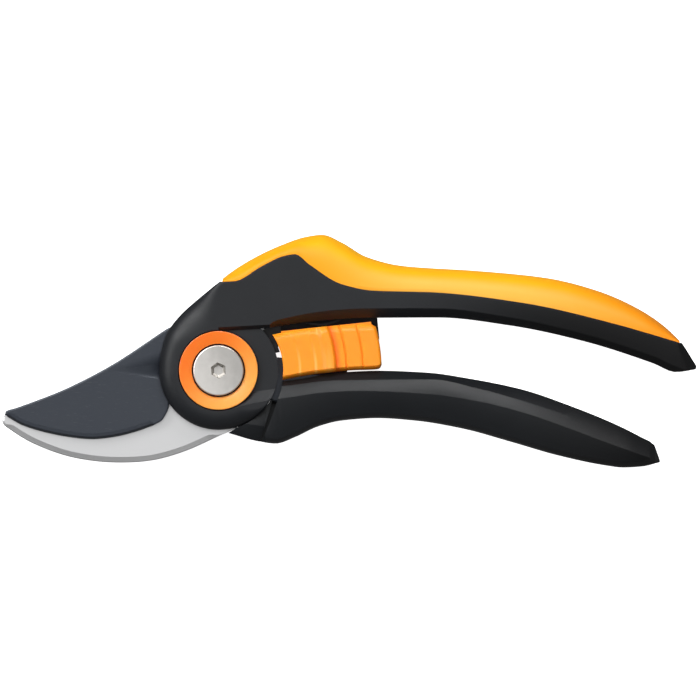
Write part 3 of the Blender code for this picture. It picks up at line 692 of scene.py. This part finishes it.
def slider_half(name, side):
    """A ribbed half of the slider, skinned from one arc of it to the next, with its inner blocks."""
    pad_face = PAD_FRONT - MIDDLE
    floor = pad_face - PAD_THICK
    start, end = PAD_INNER_ARC - 1.0, PAD_OUTER_ARC + 1.2
    radii = [start + (end - start) * i / 200 for i in range(201)]
    sections = []
    for radius in radii:
        bottom, top = pad_span(radius)
        length = (top - bottom) * radius
        face = pad_face - pad_level(radius)
        near = min(max((radius - PAD_INNER_ARC) / 0.4, 0.0), 1.0)
        far = min(max(PAD_OUTER_ARC - radius, 0.0), 1.0)
        face -= 0.4 * (1 - math.sqrt(1 - (1 - near) ** 2)) + 1.1 * (1 - math.sqrt(1 - (1 - far) ** 2))
        shoulder = 1.5 + 0.9 * math.exp(-((radius - 30.9) / 0.8) ** 2)
        spots = [(0.0, floor - face), (0.0, -PAD_WALL), (0.6, -0.7), (0.85, -0.25), (1.2, 0.0)]
        spots += [(1.2 + (length - 1.5 - shoulder) * i / 12, 0.0) for i in range(1, 13)]
        spots += [(length - shoulder, -0.08), (length - 0.2, -0.9), (length, -1.15), (length, floor - face)]
        section = []
        for run, drop in spots:
            angle = bottom + run / radius
            z = MIDDLE + side * max(face + drop, floor)
            section.append((radius * math.cos(angle), radius * math.sin(angle), z))
        sections.append(section)
    piece = made(name, lofted(sections), smooth=30)
    carve(piece, turned(disc_profile(PAD_INNER_ARC, -2.0, 20.0, 0.1)))
    carve(piece, turned(disc_profile(PAD_OUTER_ARC, -2.0, 20.0, 0.1), steps=192), operation="INTERSECT")

    def block(corners, near, far):
        return prism(corners, *sorted((MIDDLE + side * near, MIDDLE + side * far)))

    carve(piece, block(slide_block(-12.6, 13.6, 2.2, 7.1), 1.3, floor + 0.8),
          block(slide_block(-9.8, 12.2, 1.0, 3.0), 1.4, floor + 1.0),
          block(slide_block(-9.6, 12.0, -0.3, 1.5), 0.15, floor + 1.2), operation="UNION")
    for along in (-6.0, 4.0):
        x, y = slide_point(along, 5.0)
        carve(piece, plug(Vector((x, y, 0)), 1.35, *sorted((MIDDLE - side, MIDDLE + side * 5.8))))
    lock = (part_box("lock_pin")[0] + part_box("lock_pin")[1]) / 2 / MM
    carve(piece, plug(lock, 1.8, *sorted((MIDDLE - side, MIDDLE + side * 6.8))))
    crease(piece)
    return piece


# ---- Materials ----

class Shade:
    """A socket of a material being built. Sums and products of shades become maths nodes."""

    def __init__(self, tree, socket=None):
        self.tree = tree
        self.socket = socket

    def node(self, kind, settings=(), values=(), output=0):
        """Add a node: its settings first, then its socket values or links."""
        item = self.tree.nodes.new(kind)
        for key, value in dict(settings).items():
            setattr(item, key, value)
        for key, value in dict(values).items():
            self.feed(item.inputs[key], value)
        return Shade(self.tree, item.outputs[output])

    def feed(self, target, value):
        if isinstance(value, Shade):
            self.tree.links.new(value.socket, target)
        else:
            target.default_value = value

    def maths(self, operation, *values):
        return self.node("ShaderNodeMath", {"operation": operation}, dict(enumerate(values)))

    def __add__(self, other):
        return self.maths("ADD", self, other)

    def __radd__(self, other):
        return self.maths("ADD", other, self)

    def __sub__(self, other):
        return self.maths("SUBTRACT", self, other)

    def __rsub__(self, other):
        return self.maths("SUBTRACT", other, self)

    def __mul__(self, other):
        return self.maths("MULTIPLY", self, other)

    def __rmul__(self, other):
        return self.maths("MULTIPLY", other, self)

    def __pow__(self, other):
        return self.maths("POWER", self, other)

    def between(self, low, high):
        """0 below low, 1 above high and smooth in between."""
        return self.node("ShaderNodeMapRange", {"interpolation_type": "SMOOTHSTEP"},
                         {"Value": self, "From Min": low, "From Max": high})

    def band(self, centre, before, after, strength):
        """A soft band round a value, with its reach below and above it."""
        rise = self.between(centre - before, centre)
        return rise * (1 - self.between(centre, centre + after)) * strength

    def mix(self, low, high):
        """A colour between two, with this value as the share of the second."""
        return self.node("ShaderNodeMix", {"data_type": "RGBA"}, {0: self, 6: low, 7: high}, 2)

    def noise(self, size, detail=2.0, roughness=0.5):
        """Soft noise with features of a size in millimetres, at this place."""
        return self.node("ShaderNodeTexNoise", (), {"Vector": self, "Scale": 1 / (size * MM),
                                                    "Detail": detail, "Roughness": roughness})

    def placed(self, scale, turn):
        """This place turned about Z and stretched."""
        return self.node("ShaderNodeMapping", (),
                         {"Vector": self, "Rotation": (0, 0, turn), "Scale": scale})

    def split(self):
        """The X, Y and Z of this place, in millimetres."""
        item = self.tree.nodes.new("ShaderNodeSeparateXYZ")
        self.tree.links.new(self.socket, item.inputs[0])
        return [Shade(self.tree, item.outputs[i]) * 1000.0 for i in range(3)]


class Finish:
    """A new material with a surface shader, its place on the object and a way to add bumps."""

    def __init__(self, name, colour, roughness, metallic=0.0, **others):
        self.material = bpy.data.materials.new(name)
        self.material.use_nodes = True
        self.tree = self.material.node_tree
        self.surface = self.tree.nodes["Principled BSDF"]
        self.start = Shade(self.tree)
        self.place = self.start.node("ShaderNodeTexCoord", output=3)
        self.set("Base Color", colour)
        self.set("Roughness", roughness)
        self.set("Metallic", metallic)
        for key, value in others.items():
            self.set(key.replace("_", " "), value)

    def set(self, socket, value):
        if isinstance(value, tuple) and len(value) == 3:
            value = (*value, 1.0)
        self.start.feed(self.surface.inputs[socket], value)

    def bump(self, height, depth, strength=1.0):
        """Relief with a depth in millimetres."""
        normal = self.start.node("ShaderNodeBump", (),
                                 {"Height": height, "Distance": depth * MM, "Strength": strength})
        self.set("Normal", normal)


# Painted highlight and painted shade bands of the ribbed slider as (distance from the pivot, reach inwards,
# reach outwards, strength).
RIB_PAINTED_HIGHLIGHTS = ((23.6, 0.6, 0.6, 0.55), (28.2, 0.6, 0.7, 0.75), (32.3, 2.0, 1.2, 0.4))
SHADED_STEPS = ((34.2, 0.5, 2.0, 0.75), (37.0, 0.5, 0.5, 0.4), (41.8, 0.5, 0.5, 0.35))


def satin_black(name, tint=(0.0095, 0.0105, 0.0125), roughness=0.42, painted_rear_shade=0.0, reach=0.0):
    """Glass-filled nylon with mould grain, faint mottling and pale fibres; shade is painted darker towards
    the rear, which is also duller.
    """
    finish = Finish(name, tint, roughness, Specular_IOR_Level=0.29)
    x, _, _ = finish.place.split()
    # Painted shade: the colour darkens towards the rear, where the faces turn away from the light.
    rear = x.between(48.0 + reach, 112.0 + reach / 5) * painted_rear_shade
    cloud = finish.place.noise(9.0, 3.0)
    grain = finish.place.noise(0.5, 2.0)
    fibres = finish.place.placed((1.0, 4.0, 2.0), 0.5).noise(1.1, 1.0).between(0.68, 0.76)
    lift = tuple(channel * 1.35 for channel in tint)
    pale = tuple(channel * 1.9 for channel in tint)
    flecked = (fibres * 0.35).mix(cloud.mix((*tint, 1), (*lift, 1)), (*pale, 1))
    # The painted rear shade is mixed into the colour here.
    finish.set("Base Color", rear.mix(flecked, (0.002, 0.002, 0.0025, 1)))
    finish.set("Roughness", roughness - 0.04 + 0.08 * cloud + 0.2 * rear)
    finish.bump(grain * 0.7 + cloud * 0.3, 0.03, 0.4)
    return finish.material


def soft_touch():
    """Matt yellow elastomer with a very fine grain, deeper in colour towards the handle's end, with painted
    shade and a painted highlight next to the black face.
    """
    finish = Finish("soft_touch_yellow", (1.0, 0.4, 0.001), 0.5, Specular_IOR_Level=0.33)
    x, _, z = finish.place.split()
    cloud = finish.place.noise(14.0, 2.0)
    # Painted light: next to the black face the yellow gets painted shade towards the front and a paler
    # painted highlight further back.
    painted_light_mask = (z - MIDDLE).maths("ABSOLUTE", z - MIDDLE).between(FACE_HALF * 0.7, FACE_HALF)
    painted_shade_colour = painted_light_mask.mix((1.0, 0.47, 0.001, 1), (1.0, 0.355, 0.001, 1))
    body = (painted_light_mask * x.between(28.0, 60.0)).mix(painted_shade_colour, (1.0, 0.475, 0.06, 1))
    body = x.between(80.0, 132.0).mix(body, (0.97, 0.285, 0.001, 1))
    finish.set("Base Color", (cloud * 0.3).mix(body, (0.95, 0.37, 0.001, 1)))
    finish.set("Roughness", 0.46 + 0.1 * cloud)
    finish.bump(finish.place.noise(0.22, 2.0), 0.02, 0.5)
    return finish.material


def gloss_orange(name, colour, far, roughness=0.34, ribbed=False):
    """Semi-gloss acetal, a little translucent, with light painted across the piece from the first colour at
    the upper left to the second at the lower right, and on ribbed pieces painted highlights and shade along
    the ribs.
    """
    finish = Finish(name, colour, roughness, Specular_IOR_Level=0.35, Subsurface_Weight=0.3,
                    Subsurface_Scale=0.0025)
    cloud = finish.place.noise(6.0, 2.0)
    x, y, _ = finish.place.split()
    # Painted light: the colour turns from the first, as painted shade towards the upper left, to the second,
    # as painted light towards the lower right.
    across = (x - y).between(-13.0, 13.0) * 0.9 + cloud * 0.1
    body = across.mix((*colour, 1), (*far, 1))
    finish.set("Roughness", roughness - 0.03 + 0.08 * cloud)
    finish.bump(finish.place.noise(0.5, 2.0), 0.012, 0.4)
    if ribbed:
        # Painted highlights on the ribs, fading towards the top, and painted shade in the steps between
        # them.
        radius = (x * x + y * y) ** 0.5
        low = 1 - y.between(1.0, 9.0)
        painted_rib_highlights = sum(radius.band(*rib) for rib in RIB_PAINTED_HIGHLIGHTS) * low
        painted_step_shade = sum(radius.band(*step) for step in SHADED_STEPS)
        body = painted_rib_highlights.mix(painted_step_shade.mix(body, (1.0, 0.15, 0.012, 1)), (1.0, 0.5, 0.1, 1))
    finish.set("Base Color", body)
    return finish.material


def coated_steel():
    """Dark non-stick coating on the cutting blade, with sprayed texture and pale scratches."""
    finish = Finish("dark_coating", (0.045, 0.052, 0.066), 0.36, 0.35)
    spray = finish.place.noise(0.35, 3.0, 0.6)
    cloud = finish.place.noise(11.0, 3.0)
    scratch = finish.place.placed((1.0, 9.0, 1.0), -0.45).noise(2.2, 2.0, 0.7).between(0.62, 0.72)
    base = cloud.mix((0.028, 0.034, 0.047, 1), (0.034, 0.040, 0.051, 1))
    finish.set("Base Color", (scratch * 0.3).mix(base, (0.085, 0.09, 0.1, 1)))
    finish.set("Roughness", 0.33 + 0.08 * cloud + 0.05 * spray)
    finish.bump(spray, 0.02, 0.45)
    return finish.material


def ground_steel():
    """Bright satin steel of the hook, ground along its length."""
    finish = Finish("satin_steel", (0.72, 0.72, 0.73), 0.32, 1.0)
    lines = finish.place.placed((1.0, 26.0, 1.0), -0.1).noise(3.0, 3.0, 0.65)
    fine = finish.place.placed((1.0, 60.0, 1.0), -0.1).noise(6.0, 2.0, 0.6)
    cloud = finish.place.noise(16.0, 2.0)
    finish.set("Base Color", (lines * 0.5 + cloud * 0.5).mix((0.58, 0.585, 0.59, 1), (0.68, 0.68, 0.685, 1)))
    finish.set("Roughness", 0.26 + 0.1 * lines + 0.06 * cloud)
    finish.bump(lines * 0.5 + fine * 0.5, 0.01, 0.35)
    return finish.material


def turned_steel(name, colour=(0.66, 0.64, 0.61), roughness=0.34):
    """Steel with fine circular turning lines about the pivot axis, with shade painted in patches darker
    towards the right and the top.
    """
    finish = Finish(name, colour, roughness, 1.0)
    x, y, _ = finish.place.split()
    radius = (x * x + y * y) ** 0.5
    rings = (radius * 21.0).maths("SINE", radius * 21.0) * 0.5 + 0.5
    patch = finish.place.noise(2.0, 2.0)
    # Painted shade: the face darkens towards the right and the top, broken into patches.
    painted_light_slope = (y * 0.6 + x) * (1.0 / 9.0)
    painted_shade_streak = (painted_light_slope + 0.8 * patch - 0.4).between(-0.9, 0.9)
    deep = tuple(channel * 0.62 for channel in colour)
    finish.set("Base Color", (painted_shade_streak * 0.85 + rings * 0.1).mix((*colour, 1), (*deep, 1)))
    finish.set("Roughness", roughness - 0.04 + 0.1 * patch + 0.04 * rings)
    finish.bump(rings * 0.6 + patch * 0.4, 0.006, 0.4)
    return finish.material


def plain_steel(name, colour, roughness):
    """Plain drawn or stamped metal with slight wear."""
    finish = Finish(name, colour, roughness, 1.0)
    wear = finish.place.noise(1.2, 3.0)
    deep = tuple(channel * 0.78 for channel in colour)
    finish.set("Base Color", wear.mix((*colour, 1), (*deep, 1)))
    finish.set("Roughness", roughness - 0.05 + 0.12 * wear)
    finish.bump(wear, 0.006, 0.4)
    return finish.material


# ---- Assembly ----

def add(piece, body, nodes, material):
    """Give a finished piece its material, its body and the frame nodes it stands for."""
    piece.data.materials.clear()
    piece.data.materials.append(material)
    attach(piece, body)
    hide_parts(*nodes)


def keep(node, material):
    """Show a node of the frame as it is, in a new finish."""
    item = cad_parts[node]
    item.data.materials.clear()
    item.data.materials.append(material)


# The upper handle gets the full painted rear shade.
handle_black = satin_black("satin_black_handle", painted_rear_shade=1.0)
# The lower handle's black is a darker copy of the same nylon: its deeper tint is painted shade, and its rear
# is painted darker too.
lower_black_painted_shade = satin_black("satin_black_lower", (0.007, 0.008, 0.0095), 0.4, 0.7, 30.0)
# The slider's two colours are painted light across it; its ribs get painted highlights and painted shade.
orange = gloss_orange("orange_slider", (1.0, 0.29, 0.01), (1.0, 0.315, 0.014), ribbed=True)
# The ring's two colours are painted light: deeper red-orange as painted shade at the upper left, paler as
# painted light at the lower right.
ring_orange = gloss_orange("orange_ring", (1.0, 0.19, 0.016), (1.0, 0.37, 0.06), 0.3)
spring_steel = plain_steel("spring_steel", (0.45, 0.45, 0.46), 0.3)
bronze = plain_steel("bronze", (0.5, 0.33, 0.14), 0.35)

add(upper_handle(), "upper_handle", ["upper_handle_core"], handle_black)
add(soft_grip(), "upper_handle", ["upper_soft_grip"], soft_touch())
add(hook_blade(), "upper_handle", ["hook_blade"], ground_steel())
add(front_ring(), "upper_handle", ["front_bearing_ring"], ring_orange)
add(back_ring(), "upper_handle", ["back_bearing_ring"], ring_orange)
add(bolt(), "upper_handle", ["pivot_bolt"], turned_steel("turned_steel"))
add(nut(), "upper_handle", ["pivot_nut"], turned_steel("nut_steel"))
add(lower_handle(), "lower_handle", ["lower_handle_core"], lower_black_painted_shade)
add(cutting_blade(), "lower_handle", ["cutting_blade"], coated_steel())
add(slider_half("slider_front", 1), "lock_slider", ["lock_slider_front"], orange)
add(slider_half("slider_back", -1), "lock_slider", ["lock_slider_back"], orange)
rivet_steel = plain_steel("rivet_steel", (0.5, 0.5, 0.5), 0.3)
for stem, body in (("hook_rivet", "upper_handle"), ("blade_rivet", "lower_handle")):
    for piece, node in rivets(stem):
        add(piece, body, [node], rivet_steel)
keep("torsion_spring", spring_steel)
# Near-black steel for the rail, detent spring and pins; the near-black is partly painted shade, kept as dark
# as the shade they sit in under the handle.
dark_steel_for_shade = plain_steel("steel_dark_for_shade", (0.02, 0.02, 0.022), 0.5)
for node in ("slide_rail", "detent_spring", "lock_pin", "lock_slider_pin_1", "lock_slider_pin_2"):
    keep(node, dark_steel_for_shade)
for node in ("pivot_sleeve", "thrust_washer"):
    keep(node, bronze)


# ---- Setting ----

def floor():
    """A plain white table."""
    mesh = bmesh.new()
    bmesh.ops.create_grid(mesh, x_segments=2, y_segments=2, size=3000.0)
    bmesh.ops.translate(mesh, verts=mesh.verts[:], vec=(0, 0, -0.05))
    piece = made("floor", mesh)
    finish = Finish("white_table", (0.9, 0.9, 0.9), 0.8)
    finish.set("Emission Color", (1.0, 1.0, 1.0))
    finish.set("Emission Strength", 0.95)
    finish.set("Roughness", 0.78 + 0.04 * finish.place.noise(40.0, 2.0))
    piece.data.materials.append(finish.material)
    piece.visible_diffuse = False
    piece.visible_glossy = False


def soft_box(name, place, target, size, power):
    """A square soft light aimed at a point."""
    light = bpy.data.lights.new(name, "AREA")
    light.size = size
    light.energy = power
    item = bpy.data.objects.new(name, light)
    item.location = place
    item.rotation_euler = (Vector(target) - Vector(place)).to_track_quat("-Z", "Y").to_euler()
    bpy.context.scene.collection.objects.link(item)


def sky():
    world = bpy.data.worlds.new("studio")
    world.use_nodes = True
    ground = world.node_tree.nodes["Background"]
    ground.inputs["Color"].default_value = (1.0, 1.0, 1.0, 1.0)
    ground.inputs["Strength"].default_value = 0.2
    bpy.context.scene.world = world


def camera():
    """A long lens straight above the middle of the tool."""
    lens = bpy.data.cameras.new("camera")
    lens.lens = 500.0
    lens.sensor_width = 36.0
    item = bpy.data.objects.new("camera", lens)
    item.location = (0.0380, 0.0059, 2.824)
    bpy.context.scene.collection.objects.link(item)
    bpy.context.scene.camera = item


# Soft lights as (name, place in metres, size in metres, power in watts), all aimed at one point.
LIGHT_TARGET = (0.038, 0.006, 0.009)
LIGHTS = (("key", (-0.62, 0.70, 1.0), 0.65, 11.0), ("top", (0.25, 1.0, 0.95), 0.5, 9.0),
          ("left", (-1.0, 0.1, 0.85), 0.5, 4.0), ("fill", (0.9, -0.3, 0.8), 0.8, 1.2),
          ("overhead", (0.1, 0.0, 4.5), 2.7, 22.0))

floor()
sky()
for name, place, size, power in LIGHTS:
    soft_box(name, place, LIGHT_TARGET, size, power)
camera()
bpy.context.scene.view_settings.view_transform = "Standard"
